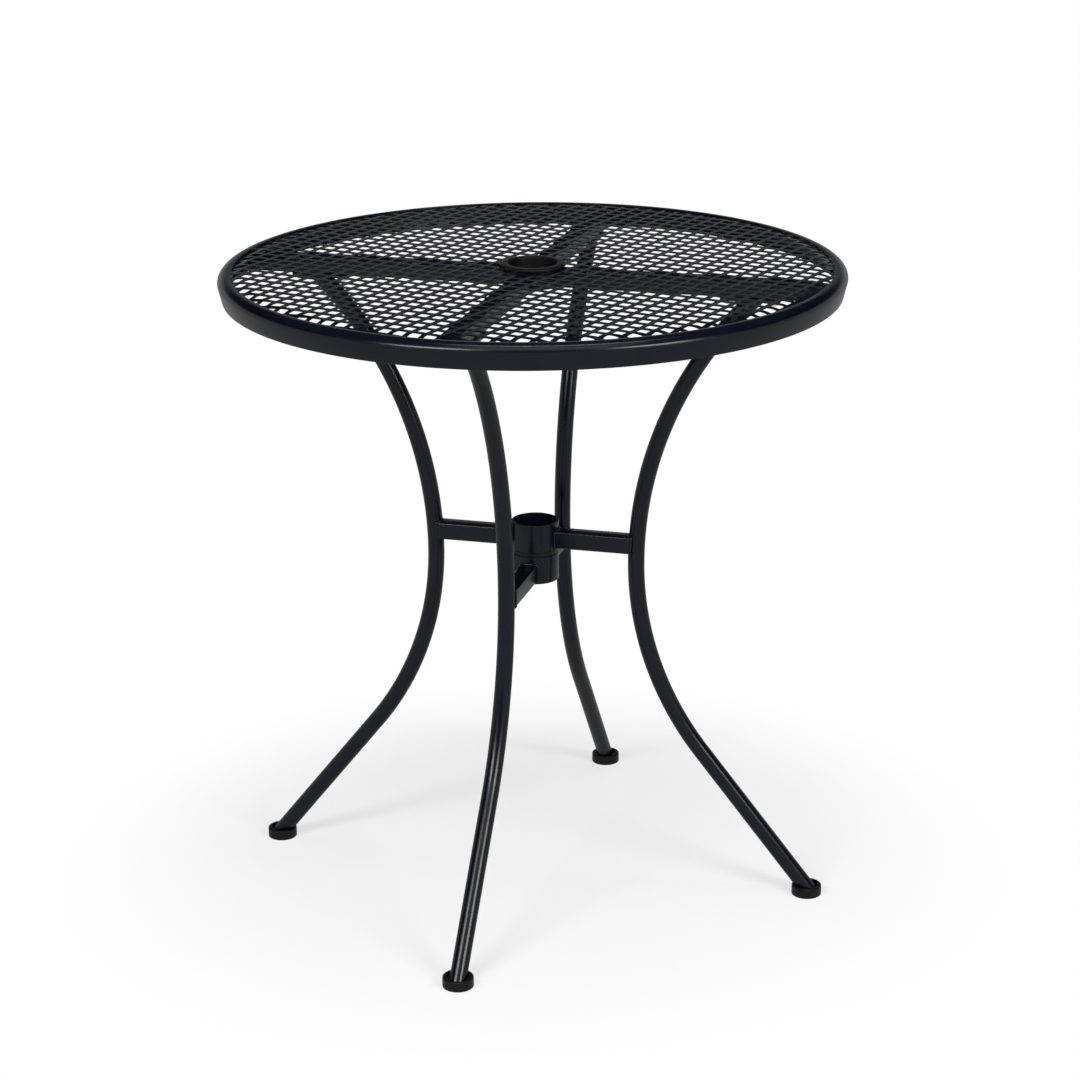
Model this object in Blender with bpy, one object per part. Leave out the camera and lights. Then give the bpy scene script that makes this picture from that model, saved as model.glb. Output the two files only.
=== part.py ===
"""Round balcony table: a perforated steel top with a parasol hole, on two crossed frames of bent tube.

Lengths are in metres, +Z is up, and the origin is on the floor under the middle of the top.
The legs stand on the X and Y axes. Welded and seated neighbours keep a small gap to each other,
so each piece stays one closed solid of its own.
"""
import math

import bmesh
import bpy
from mathutils import Matrix, Vector

# The gap between two pieces that touch on the real table
GAP = 0.0003

# Table top: the sheet's upper face, and the rim that the sheet is welded under
TABLE_HEIGHT = 0.730
TOP_RADIUS = 0.350
APRON_BELOW_ARMS = 0.0065
APRON_TAPER = 0.0045
RIM_SHEET = 0.0015
RIM_MARGIN = 0.015
SHOULDER_WIDTH = 0.010
SHOULDER_DROP = 0.009
FLANGE_DROP = 0.0005
HEM_HEIGHT = 0.005
HEM_THICKNESS = 0.0015
RIM_STEPS = 64
SHOULDER_STEPS = 3

# Perforated sheet: flat field, then a short dip that takes the edge under the rim's flange
PANEL_SHEET = 0.0012
PANEL_LAP = 0.004
DIP_WIDTH = 0.0135
DIP_STEPS = 2
HOLE_PITCH = 0.0356
HOLE_SIDE = 0.0178
HOLE_ROW_ANGLE = math.radians(-15.3)
HUB_MARGIN = 0.004

# Parasol ring: a moulded flange with a sleeve that goes down into the centre tube
PARASOL_BORE_RADIUS = 0.0275
SLEEVE_WALL = 0.002
SLEEVE_DEPTH = 0.022
RING_FLANGE_WIDTH = 0.0095
RING_FLANGE_HEIGHT = 0.003
RING_FLANGE_ROUND = 0.0015
RING_FLANGE_STEPS = 2
RING_FLANGE_LAP = 0.0025
ROUND_STEPS = 32

# Cross under the top: four square tubes between the centre tube and the rim
ARM_SIZE = 0.020
ARM_WALL = 0.0015
ARM_END_PLAY = 0.0012
CENTRE_TUBE_WALL = 0.002
SLEEVE_PLAY = 0.0005

# Legs: round tube, bent in two arcs that meet upright at the waist, straight down to the foot.
# The reach is how far the top of a leg stands outside its waist.
LEG_TUBE_RADIUS = 0.0095
LEG_TUBE_WALL = 0.0015
WAIST_RADIUS = 0.1195
WAIST_HEIGHT = 0.388
LEG_TOP_REACH = 0.1315
LOWER_BEND_RADIUS = 0.355
LEG_LEAN = math.radians(38.75)
LEG_SIDES = 12
UPPER_BEND_STEPS = 7
LOWER_BEND_STEPS = 6

# Foot glides
FOOT_FLARE = 0.008
FOOT_HEIGHT = 0.012
FOOT_FLOOR = 0.004
FOOT_ROUND = 0.002
FOOT_SOLE_ROUND = 0.001
FOOT_LIP = 0.004
FOOT_DISH_DEPTH = 0.0025
FOOT_STEPS = 18
FOOT_ROUND_STEPS = 2

# Hub: two collars with a spacer between them, each carrying the stretchers of one leg frame
COLLAR_RADIUS = 0.027
COLLAR_WALL = 0.002
COLLAR_HEIGHT = 0.032
COLLAR_EDGE = 0.0004
SPACER_HEIGHT = 0.005
SPACER_INSET = 0.0006
HUB_TOP_ABOVE_WAIST = 0.044
STRETCHER_SIZE = 0.020
STRETCHER_WALL = 0.0015
UPPER_STRETCHER_DROP = 0.020
LOWER_STRETCHER_DROP = 0.0184
SADDLE_SETBACK = 0.005

# Leg fixings: a plate welded on each leg top, two bolts, and nuts welded inside the arm
PLATE_THICKNESS = 0.003
PLATE_WIDTH = 0.024
PLATE_END = 0.0095
PLATE_CORNER = 0.005
PLATE_CORNER_STEPS = 3
SPANNER_ROOM = 0.0015
BOLT_RADIUS = 0.003
BOLT_PLAY = 0.0003
BOLT_LENGTH = 0.0135
HEX_ACROSS_FLATS = 0.010
HEX_HEAD_HEIGHT = 0.004
BOLT_FLANGE_WIDTH = 0.0018
BOLT_FLANGE_HEIGHT = 0.0012
NUT_HEIGHT = 0.005
HEX_SEGMENTS = 12

# Finishes, by colour, roughness and metallic value
POWDER_COAT = ((0.016, 0.017, 0.022), 0.42, 0.0)
MOULDED_PLASTIC = ((0.012, 0.012, 0.013), 0.5, 0.0)
ZINC_PLATE = ((0.55, 0.56, 0.58), 0.35, 1.0)

# How far a cutter runs past the face that it opens
CUT_PAST = 0.004
SHARP_ANGLE = math.radians(35)
MERGE_DISTANCE = 1e-6

# Sides on which the four legs, arms and stretchers stand, as turns about +Z
SIDES = {"right": 0.0, "back": math.pi / 2, "left": math.pi, "front": 3 * math.pi / 2}
UPPER_FRAME = ("right", "left")

# Heights and radii that follow from the sizes above
FLANGE_TOP = TABLE_HEIGHT - FLANGE_DROP
SHOULDER_FOOT = FLANGE_TOP - SHOULDER_DROP
RIM_INNER_RADIUS = TOP_RADIUS - RIM_MARGIN
PANEL_DIP = FLANGE_DROP + RIM_SHEET + GAP
PANEL_RADIUS = RIM_INNER_RADIUS + PANEL_LAP
FIELD_RADIUS = RIM_INNER_RADIUS - GAP - DIP_WIDTH
RING_FLANGE_RADIUS = PARASOL_BORE_RADIUS + RING_FLANGE_WIDTH
SLEEVE_RADIUS = PARASOL_BORE_RADIUS + SLEEVE_WALL
PANEL_BORE_RADIUS = RING_FLANGE_RADIUS - RING_FLANGE_LAP
CENTRE_TUBE_BORE = SLEEVE_RADIUS + SLEEVE_PLAY
CENTRE_TUBE_RADIUS = CENTRE_TUBE_BORE + CENTRE_TUBE_WALL
ARM_TOP = TABLE_HEIGHT - PANEL_SHEET - GAP
ARM_BOTTOM = ARM_TOP - ARM_SIZE
APRON_BOTTOM = ARM_BOTTOM - APRON_BELOW_ARMS
PLATE_TOP = ARM_BOTTOM - GAP
PLATE_BOTTOM = PLATE_TOP - PLATE_THICKNESS
LEG_TOP = PLATE_BOTTOM - GAP
LEG_BOTTOM = FOOT_FLOOR + GAP
UPPER_BEND_RISE = LEG_TOP - WAIST_HEIGHT
UPPER_BEND_RADIUS = (UPPER_BEND_RISE ** 2 + LEG_TOP_REACH ** 2) / (2 * LEG_TOP_REACH)
FOOT_RADIUS = LEG_TUBE_RADIUS + FOOT_FLARE
BOLT_HOLE_RADIUS = BOLT_RADIUS + BOLT_PLAY
HUB_TOP = WAIST_HEIGHT + HUB_TOP_ABOVE_WAIST
UPPER_COLLAR_BOTTOM = HUB_TOP - COLLAR_HEIGHT
SPACER_TOP = UPPER_COLLAR_BOTTOM - GAP
SPACER_BOTTOM = SPACER_TOP - SPACER_HEIGHT
LOWER_COLLAR_TOP = SPACER_BOTTOM - GAP
SPACER_RADIUS = COLLAR_RADIUS - SPACER_INSET
BOLT_FLANGE_RADIUS = HEX_ACROSS_FLATS / 2 + BOLT_FLANGE_WIDTH
BOLT_SEAT = PLATE_BOTTOM - GAP
BOLT_HEAD_TOP = BOLT_SEAT - BOLT_FLANGE_HEIGHT
BOLT_HEAD_BOTTOM = BOLT_HEAD_TOP - HEX_HEAD_HEIGHT


def clear_scene():
    """Remove the objects that the file starts with."""
    for obj in list(bpy.data.objects):
        bpy.data.objects.remove(obj, do_unlink=True)


def make_material(name, color, roughness, metallic):
    """Return a Principled material of one colour."""
    material = bpy.data.materials.new(name)
    material.use_nodes = True
    shader = material.node_tree.nodes["Principled BSDF"]
    shader.inputs["Base Color"].default_value = (*color, 1.0)
    shader.inputs["Roughness"].default_value = roughness
    shader.inputs["Metallic"].default_value = metallic
    return material


def mesh_from(bm, name):
    """Turn a finished bmesh into a mesh with outward faces and smooth round sides."""
    bmesh.ops.remove_doubles(bm, verts=bm.verts, dist=MERGE_DISTANCE)
    bmesh.ops.recalc_face_normals(bm, faces=bm.faces)
    mesh = bpy.data.meshes.new(name)
    bm.to_mesh(mesh)
    bm.free()
    mesh.shade_smooth()
    mesh.set_sharp_from_angle(angle=SHARP_ANGLE)
    return mesh


def add_piece(name, mesh, finish, turn=0.0):
    """Link one sub-part, turned about the table's axis, and give its mesh a material of that finish."""
    if not mesh.materials:
        mesh.materials.append(make_material(mesh.name, *finish))
    obj = bpy.data.objects.new(name, mesh)
    obj.rotation_euler.z = turn
    bpy.context.scene.collection.objects.link(obj)
    return obj


def carved(mesh, cutter_meshes, name):
    """Return the mesh with the cutters taken out of it."""
    collection = bpy.context.scene.collection
    body = bpy.data.objects.new(name, mesh)
    collection.objects.link(body)
    cutters = []
    for cutter_mesh in cutter_meshes:
        cutter = bpy.data.objects.new(name + "_cutter", cutter_mesh)
        cutter.hide_render = True
        cutter.display_type = "WIRE"
        collection.objects.link(cutter)
        cutters.append(cutter)
        cut = body.modifiers.new("cut", "BOOLEAN")
        cut.operation = "DIFFERENCE"
        cut.solver = "EXACT"
        cut.object = cutter
    graph = bpy.context.evaluated_depsgraph_get()
    result = bpy.data.meshes.new_from_object(body.evaluated_get(graph))
    result.name = name
    for obj in [body] + cutters:
        bpy.data.objects.remove(obj, do_unlink=True)
    return result


def turned(profile, steps):
    """Spin an outline of (radius, height) points about +Z.

    An outline that ends on the axis gives a solid body, and any other one closes on itself.
    """
    bm = bmesh.new()
    verts = [bm.verts.new((radius, 0.0, height)) for radius, height in profile]
    edges = [bm.edges.new(pair) for pair in zip(verts, verts[1:])]
    if profile[0][0] > MERGE_DISTANCE:
        edges.append(bm.edges.new((verts[-1], verts[0])))
    bmesh.ops.spin(bm, geom=verts + edges, cent=(0, 0, 0), axis=(0, 0, 1), angle=2 * math.pi,
                   steps=steps, use_merge=True)
    return bm


def arc_points(centre, radii, start, end, steps):
    """Return points on an elliptic arc between two angles, ends included."""
    points = []
    for i in range(steps + 1):
        angle = start + (end - start) * i / steps
        points.append((centre[0] + radii[0] * math.cos(angle), centre[1] + radii[1] * math.sin(angle)))
    return points


def block(low, high):
    """Return a box between two corners."""
    size = Vector(high) - Vector(low)
    middle = (Vector(high) + Vector(low)) / 2
    bm = bmesh.new()
    bmesh.ops.create_cube(bm, size=1.0, matrix=Matrix.Translation(middle) @ Matrix.Diagonal((*size, 1.0)))
    return bm


def prism(outline, width):
    """Extrude an outline of (x, z) points to both sides of the XZ plane."""
    bm = bmesh.new()
    verts = [bm.verts.new((x, -width / 2, z)) for x, z in outline]
    face = bm.faces.new(verts)
    grown = bmesh.ops.extrude_face_region(bm, geom=[face])
    moved = [item for item in grown["geom"] if isinstance(item, bmesh.types.BMVert)]
    bmesh.ops.translate(bm, verts=moved, vec=(0.0, width, 0.0))
    return bm


def rod(radius, low, high, segments, at=(0.0, 0.0)):
    """Return an upright cylinder between two heights."""
    matrix = Matrix.Translation((at[0], at[1], (low + high) / 2))
    bm = bmesh.new()
    bmesh.ops.create_cone(bm, cap_ends=True, segments=segments, radius1=radius, radius2=radius,
                          depth=high - low, matrix=matrix)
    return bm


def push_out_corners(bm):
    """Turn the rings that are as wide as a spanner's jaws into hexagons."""
    sector = math.pi / 3
    for vert in bm.verts:
        reach = math.hypot(vert.co.x, vert.co.y)
        if abs(reach - HEX_ACROSS_FLATS / 2) < MERGE_DISTANCE:
            from_flat = (math.atan2(vert.co.y, vert.co.x) + sector / 2) % sector - sector / 2
            vert.co.x /= math.cos(from_flat)
            vert.co.y /= math.cos(from_flat)


def leg_radius(height):
    """Return the distance of a leg's centre line from the table's axis at a height."""
    rise = height - WAIST_HEIGHT
    if rise >= 0:
        return WAIST_RADIUS + UPPER_BEND_RADIUS - math.sqrt(UPPER_BEND_RADIUS ** 2 - rise ** 2)
    straight_below = -LOWER_BEND_RADIUS * math.sin(LEG_LEAN)
    bend_rise = max(rise, straight_below)
    bend = WAIST_RADIUS + LOWER_BEND_RADIUS - math.sqrt(LOWER_BEND_RADIUS ** 2 - bend_rise ** 2)
    return bend + (bend_rise - rise) * math.tan(LEG_LEAN)


def leg_slope(height):
    """Return the angle between a leg's centre line and the vertical, outwards as it rises."""
    rise = height - WAIST_HEIGHT
    if rise >= 0:
        return math.asin(rise / UPPER_BEND_RADIUS)
    return max(math.asin(max(rise / LOWER_BEND_RADIUS, -1.0)), -LEG_LEAN)


def leg_heights():
    """Return the heights at which a leg tube has its rings, from the foot to the top."""
    heights = [LEG_BOTTOM]
    for i in range(LOWER_BEND_STEPS):
        heights.append(WAIST_HEIGHT - LOWER_BEND_RADIUS * math.sin(LEG_LEAN * (1 - i / LOWER_BEND_STEPS)))
    top_slope = leg_slope(LEG_TOP)
    for i in range(UPPER_BEND_STEPS + 1):
        heights.append(WAIST_HEIGHT + UPPER_BEND_RADIUS * math.sin(top_slope * i / UPPER_BEND_STEPS))
    return heights


def ring_edges(ring):
    """Return the edges that lie within a ring."""
    inside = set(ring)
    return [edge for edge in {e for v in ring for e in v.link_edges} if set(edge.verts) <= inside]


def leg_bar(radius, heights):
    """Return a solid bar that follows a leg's centre line, with both ends cut level."""
    bm = bmesh.new()
    rings = []
    for height in heights:
        slope = leg_slope(height)
        place = Matrix.Translation((leg_radius(height), 0.0, height)) @ Matrix.Rotation(slope, 4, "Y")
        ring = bmesh.ops.create_circle(bm, cap_ends=False, segments=LEG_SIDES, radius=radius, matrix=place)
        rings.append(ring["verts"])
    for ring, height in ((rings[0], heights[0]), (rings[-1], heights[-1])):
        along = Vector((math.tan(leg_slope(height)), 0.0, 1.0))
        for vert in ring:
            vert.co += along * (height - vert.co.z)
        bmesh.ops.contextual_create(bm, geom=ring_edges(ring))
    for lower, upper in zip(rings, rings[1:]):
        bmesh.ops.bridge_loops(bm, edges=ring_edges(lower) + ring_edges(upper))
    return mesh_from(bm, "leg_bar")


def leg_mesh():
    """Return one bent leg tube, open at both ends."""
    heights = leg_heights()
    bore_heights = [heights[0] - CUT_PAST] + heights[1:-1] + [heights[-1] + CUT_PAST]
    bore = leg_bar(LEG_TUBE_RADIUS - LEG_TUBE_WALL, bore_heights)
    return carved(leg_bar(LEG_TUBE_RADIUS, heights), [bore], "leg")


def build_rim():
    """Rolled rim: inward flange, rounded shoulder, tapered apron and a folded hem."""
    quarter = math.pi / 2
    centre = (TOP_RADIUS - SHOULDER_WIDTH, SHOULDER_FOOT)
    outer_round = arc_points(centre, (SHOULDER_WIDTH, SHOULDER_DROP), 0.0, quarter, SHOULDER_STEPS)
    inner_size = (SHOULDER_WIDTH - RIM_SHEET, SHOULDER_DROP - RIM_SHEET)
    inner_round = arc_points(centre, inner_size, quarter, 0.0, SHOULDER_STEPS)
    apron_foot = TOP_RADIUS - APRON_TAPER
    hem_share = HEM_HEIGHT / (SHOULDER_FOOT - APRON_BOTTOM)
    hem_top_outer = apron_foot + APRON_TAPER * hem_share
    hem_top = APRON_BOTTOM + HEM_HEIGHT
    profile = [(apron_foot, APRON_BOTTOM)]
    profile += outer_round
    profile += [(RIM_INNER_RADIUS, FLANGE_TOP), (RIM_INNER_RADIUS, FLANGE_TOP - RIM_SHEET)]
    profile += inner_round
    profile += [
        (hem_top_outer - RIM_SHEET, hem_top),
        (hem_top_outer - RIM_SHEET - HEM_THICKNESS, hem_top - HEM_THICKNESS),
        (apron_foot - RIM_SHEET - HEM_THICKNESS, APRON_BOTTOM),
    ]
    add_piece("top_rim", mesh_from(turned(profile, RIM_STEPS), "top_rim"), POWDER_COAT)


def dip_profile():
    """Return the sheet's upper side from the end of its field to its edge, as (radius, height)."""
    points = []
    for i in range(1, DIP_STEPS + 1):
        share = i / DIP_STEPS
        drop = PANEL_DIP * (1 - math.cos(math.pi * share)) / 2
        points.append((FIELD_RADIUS + DIP_WIDTH * share, TABLE_HEIGHT - drop))
    points.append((PANEL_RADIUS, TABLE_HEIGHT - PANEL_DIP))
    return points


def sheet_mesh():
    """Return the round sheet before its holes are punched."""
    bm = bmesh.new()
    centre = Matrix.Translation((0.0, 0.0, TABLE_HEIGHT))
    bmesh.ops.create_circle(bm, cap_ends=True, segments=RIM_STEPS, radius=FIELD_RADIUS, matrix=centre)
    rim = bm.edges[:]
    for radius, height in dip_profile():
        grown = bmesh.ops.extrude_edge_only(bm, edges=rim)["geom"]
        for vert in (item for item in grown if isinstance(item, bmesh.types.BMVert)):
            stretch = radius / math.hypot(vert.co.x, vert.co.y)
            vert.co = (vert.co.x * stretch, vert.co.y * stretch, height)
        rim = [item for item in grown if isinstance(item, bmesh.types.BMEdge)]
    lower = bmesh.ops.extrude_face_region(bm, geom=bm.faces[:])["geom"]
    moved = [item for item in lower if isinstance(item, bmesh.types.BMVert)]
    bmesh.ops.translate(bm, verts=moved, vec=(0.0, 0.0, -PANEL_SHEET))
    return mesh_from(bm, "sheet")


def hole_centres():
    """Return the middles of the square holes that lie whole between the hub and the rim."""
    half_diagonal = HOLE_SIDE / math.sqrt(2)
    reach = int(TOP_RADIUS / HOLE_PITCH) + 1
    turn = Matrix.Rotation(HOLE_ROW_ANGLE, 3, "Z")
    centres = []
    for row in range(-reach, reach + 1):
        for column in range(-reach, reach + 1):
            centre = turn @ Vector((column * HOLE_PITCH, row * HOLE_PITCH, 0.0))
            outside_hub = centre.length - half_diagonal > RING_FLANGE_RADIUS + HUB_MARGIN
            inside_rim = centre.length + half_diagonal < RIM_INNER_RADIUS - GAP
            if outside_hub and inside_rim:
                centres.append(centre)
    return centres


def build_panel():
    """Perforated sheet with square holes in straight rows, dipped at its edge."""
    low = TABLE_HEIGHT - PANEL_SHEET - PANEL_DIP - CUT_PAST
    high = TABLE_HEIGHT + CUT_PAST
    cutter = rod(PANEL_BORE_RADIUS, low, high, ROUND_STEPS)
    turn = Matrix.Rotation(HOLE_ROW_ANGLE, 4, "Z")
    size = Matrix.Diagonal((HOLE_SIDE, HOLE_SIDE, high - low, 1.0))
    for centre in hole_centres():
        place = Matrix.Translation((centre.x, centre.y, (low + high) / 2)) @ turn @ size
        bmesh.ops.create_cube(cutter, size=1.0, matrix=place)
    mesh = carved(sheet_mesh(), [mesh_from(cutter, "holes")], "perforated_top")
    add_piece("perforated_top", mesh, POWDER_COAT)


def build_parasol_ring():
    """Moulded ring round the parasol hole, with its sleeve."""
    foot = TABLE_HEIGHT + GAP
    top = foot + RING_FLANGE_HEIGHT
    quarter = math.pi / 2
    size = (RING_FLANGE_ROUND, RING_FLANGE_ROUND)
    outer_corner = (RING_FLANGE_RADIUS - RING_FLANGE_ROUND, top - RING_FLANGE_ROUND)
    inner_corner = (PARASOL_BORE_RADIUS + RING_FLANGE_ROUND, top - RING_FLANGE_ROUND)
    sleeve_end = TABLE_HEIGHT - SLEEVE_DEPTH
    profile = [(PARASOL_BORE_RADIUS, sleeve_end), (SLEEVE_RADIUS, sleeve_end)]
    profile += [(SLEEVE_RADIUS, foot), (RING_FLANGE_RADIUS, foot)]
    profile += arc_points(outer_corner, size, 0.0, quarter, RING_FLANGE_STEPS)
    profile += arc_points(inner_corner, size, quarter, math.pi, RING_FLANGE_STEPS)
    add_piece("parasol_ring", mesh_from(turned(profile, ROUND_STEPS), "parasol_ring"), MOULDED_PLASTIC)


def collar_mesh(name, inner, outer, low, high, edge):
    """Return a short upright tube with broken edges."""
    profile = [
        (inner, low), (outer - edge, low), (outer, low + edge),
        (outer, high - edge), (outer - edge, high), (inner, high),
    ]
    return mesh_from(turned(profile, ROUND_STEPS), name)


def build_centre_tube():
    """Short tube in the middle of the arms, round the parasol ring's sleeve."""
    inner, outer = CENTRE_TUBE_BORE, CENTRE_TUBE_RADIUS
    tube = collar_mesh("centre_tube", inner, outer, ARM_BOTTOM, TABLE_HEIGHT, COLLAR_EDGE)
    add_piece("centre_tube", tube, POWDER_COAT)


def square_tube(outline, size, wall, length_from, length_to, bottom):
    """Return the solid and the hollow of a square tube that lies along +X."""
    solid = mesh_from(prism(outline, size), "solid")
    low = (length_from - CUT_PAST, -size / 2 + wall, bottom + wall)
    high = (length_to + CUT_PAST, size / 2 - wall, bottom + size - wall)
    return solid, mesh_from(block(low, high), "hollow")


def bolt_radii():
    """Return the distances of a leg's two bolts from the table's axis, on either side of the leg."""
    reach = LEG_TUBE_RADIUS / math.cos(leg_slope(LEG_TOP)) + BOLT_FLANGE_RADIUS + SPANNER_ROOM
    return leg_radius(BOLT_HEAD_BOTTOM) - reach, leg_radius(LEG_TOP) + reach


def arm_mesh():
    """Return one arm of the cross, coped round the centre tube and notched under the sheet's edge."""
    inner_end = CENTRE_TUBE_RADIUS - CUT_PAST
    wall_share = (ARM_BOTTOM - APRON_BOTTOM) / (SHOULDER_FOOT - APRON_BOTTOM)
    wall_radius = TOP_RADIUS - APRON_TAPER * (1 - wall_share) - RIM_SHEET
    outer_end = math.sqrt((wall_radius - ARM_END_PLAY) ** 2 - (ARM_SIZE / 2) ** 2)
    notch_top = ARM_TOP - PANEL_DIP
    outline = [
        (inner_end, ARM_BOTTOM), (outer_end, ARM_BOTTOM), (outer_end, notch_top),
        (FIELD_RADIUS - GAP, notch_top), (FIELD_RADIUS - GAP, ARM_TOP), (inner_end, ARM_TOP),
    ]
    solid, hollow = square_tube(outline, ARM_SIZE, ARM_WALL, inner_end, outer_end, ARM_BOTTOM)
    cope = rod(CENTRE_TUBE_RADIUS + GAP, ARM_BOTTOM - CUT_PAST, ARM_TOP + CUT_PAST, ROUND_STEPS)
    cutters = [hollow, mesh_from(cope, "cope")]
    for radius in bolt_radii():
        place = (radius, 0.0)
        drill = rod(BOLT_HOLE_RADIUS, ARM_BOTTOM - CUT_PAST, ARM_BOTTOM + CUT_PAST, HEX_SEGMENTS, place)
        cutters.append(mesh_from(drill, "drill"))
    return carved(solid, cutters, "top_arm")


def stretcher_mesh(height):
    """Return one stretcher, coped round the collar at one end and round the leg at the other."""
    bottom = height - STRETCHER_SIZE / 2
    top = height + STRETCHER_SIZE / 2
    inner_end = COLLAR_RADIUS - CUT_PAST
    outer_end = leg_radius(height) - SADDLE_SETBACK
    outline = [(inner_end, bottom), (outer_end, bottom), (outer_end, top), (inner_end, top)]
    solid, hollow = square_tube(outline, STRETCHER_SIZE, STRETCHER_WALL, inner_end, outer_end, bottom)
    cope = rod(COLLAR_RADIUS + GAP, bottom - CUT_PAST, top + CUT_PAST, ROUND_STEPS)
    saddle = leg_bar(LEG_TUBE_RADIUS + GAP, [bottom - CUT_PAST, height, top + CUT_PAST])
    return carved(solid, [hollow, mesh_from(cope, "cope"), saddle], "stretcher")


def plate_mesh():
    """Return the plate on top of a leg, with two bolt holes."""
    inner_bolt, outer_bolt = bolt_radii()
    bm = block((inner_bolt - PLATE_END, -PLATE_WIDTH / 2, PLATE_BOTTOM),
               (outer_bolt + PLATE_END, PLATE_WIDTH / 2, PLATE_TOP))
    upright = [edge for edge in bm.edges if abs(edge.verts[0].co.z - edge.verts[1].co.z) > GAP]
    bmesh.ops.bevel(bm, geom=upright, offset=PLATE_CORNER, segments=PLATE_CORNER_STEPS, affect="EDGES",
                    profile=0.5, material=-1)
    low = PLATE_BOTTOM - CUT_PAST
    high = PLATE_TOP + CUT_PAST
    drills = []
    for radius in bolt_radii():
        drill = rod(BOLT_HOLE_RADIUS, low, high, HEX_SEGMENTS, (radius, 0.0))
        drills.append(mesh_from(drill, "drill"))
    return carved(mesh_from(bm, "plate"), drills, "mount_plate")


def foot_mesh():
    """Return a moulded glide, dished on top, with a slanted socket for the end of the leg tube."""
    quarter = math.pi / 2
    top = (FOOT_RADIUS - FOOT_ROUND, FOOT_HEIGHT - FOOT_ROUND)
    profile = [(0.0, 0.0), (FOOT_RADIUS - FOOT_SOLE_ROUND, 0.0), (FOOT_RADIUS, FOOT_SOLE_ROUND)]
    profile += arc_points(top, (FOOT_ROUND, FOOT_ROUND), 0.0, quarter, FOOT_ROUND_STEPS)
    dish_radius = FOOT_RADIUS - FOOT_LIP
    dish_floor = FOOT_HEIGHT - FOOT_DISH_DEPTH
    profile += [(dish_radius, FOOT_HEIGHT), (dish_radius, dish_floor), (0.0, dish_floor)]
    bm = turned(profile, FOOT_STEPS)
    middle = leg_radius((FOOT_FLOOR + FOOT_HEIGHT) / 2)
    bmesh.ops.translate(bm, verts=bm.verts, vec=(middle, 0.0, 0.0))
    socket = leg_bar(LEG_TUBE_RADIUS + GAP, [FOOT_FLOOR, FOOT_HEIGHT + CUT_PAST])
    return carved(mesh_from(bm, "glide"), [socket], "foot_glide")


def fastener_mesh(name, profile, radius):
    """Return a hexagonal fastener on the +X side, at one of the bolt places."""
    fastener = turned(profile, HEX_SEGMENTS)
    push_out_corners(fastener)
    bmesh.ops.translate(fastener, verts=fastener.verts, vec=(radius, 0.0, 0.0))
    return mesh_from(fastener, name)


def build_fasteners():
    """Flanged hex bolts up through the plates, and nuts welded inside the arms, two to a leg."""
    flat = HEX_ACROSS_FLATS / 2
    tip = BOLT_SEAT + BOLT_LENGTH
    bolt = [
        (0.0, BOLT_HEAD_BOTTOM), (flat, BOLT_HEAD_BOTTOM), (flat, BOLT_HEAD_TOP),
        (BOLT_FLANGE_RADIUS, BOLT_HEAD_TOP), (BOLT_FLANGE_RADIUS, BOLT_SEAT), (BOLT_RADIUS, BOLT_SEAT),
        (BOLT_RADIUS, tip), (0.0, tip),
    ]
    nut_bottom = ARM_BOTTOM + ARM_WALL + GAP
    nut_top = nut_bottom + NUT_HEIGHT
    nut = [(flat, nut_bottom), (flat, nut_top), (BOLT_HOLE_RADIUS, nut_top), (BOLT_HOLE_RADIUS, nut_bottom)]
    for place, radius in zip(("inner", "outer"), bolt_radii()):
        bolt_mesh = fastener_mesh("leg_bolt", bolt, radius)
        nut_mesh = fastener_mesh("weld_nut", nut, radius)
        for side, turn in SIDES.items():
            add_piece("leg_bolt_" + side + "_" + place, bolt_mesh, ZINC_PLATE, turn)
            add_piece("weld_nut_" + side + "_" + place, nut_mesh, ZINC_PLATE, turn)


def build_hub():
    """Two collars on the table's axis with a spacer between them."""
    bore = COLLAR_RADIUS - COLLAR_WALL
    upper = collar_mesh("hub_collar_upper", bore, COLLAR_RADIUS, UPPER_COLLAR_BOTTOM, HUB_TOP, COLLAR_EDGE)
    spacer = collar_mesh("hub_spacer", bore, SPACER_RADIUS, SPACER_BOTTOM, SPACER_TOP, COLLAR_EDGE)
    lower = collar_mesh("hub_collar_lower", bore, COLLAR_RADIUS, LOWER_COLLAR_TOP - COLLAR_HEIGHT,
                        LOWER_COLLAR_TOP, COLLAR_EDGE)
    add_piece("hub_collar_upper", upper, POWDER_COAT)
    add_piece("hub_spacer", spacer, MOULDED_PLASTIC)
    add_piece("hub_collar_lower", lower, POWDER_COAT)


def build_sides():
    """Arms, plates, legs, stretchers and glides on the four sides."""
    arm = arm_mesh()
    plate = plate_mesh()
    leg = leg_mesh()
    foot = foot_mesh()
    upper_stretcher = stretcher_mesh(HUB_TOP - UPPER_STRETCHER_DROP)
    lower_stretcher = stretcher_mesh(LOWER_COLLAR_TOP - LOWER_STRETCHER_DROP)
    for side, turn in SIDES.items():
        stretcher = upper_stretcher if side in UPPER_FRAME else lower_stretcher
        add_piece("top_arm_" + side, arm, POWDER_COAT, turn)
        add_piece("mount_plate_" + side, plate, POWDER_COAT, turn)
        add_piece("leg_" + side, leg, POWDER_COAT, turn)
        add_piece("stretcher_" + side, stretcher, POWDER_COAT, turn)
        add_piece("foot_glide_" + side, foot, MOULDED_PLASTIC, turn)


def main():
    clear_scene()
    build_rim()
    build_panel()
    build_parasol_ring()
    build_centre_tube()
    build_sides()
    build_hub()
    build_fasteners()


main()
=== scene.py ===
"""Balcony table with a perforated round top on two crossed leg frames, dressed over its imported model."""
import math

import bmesh
import bpy
from bpy.props import FloatProperty, FloatVectorProperty, PointerProperty
from mathutils import Matrix, Vector


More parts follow.
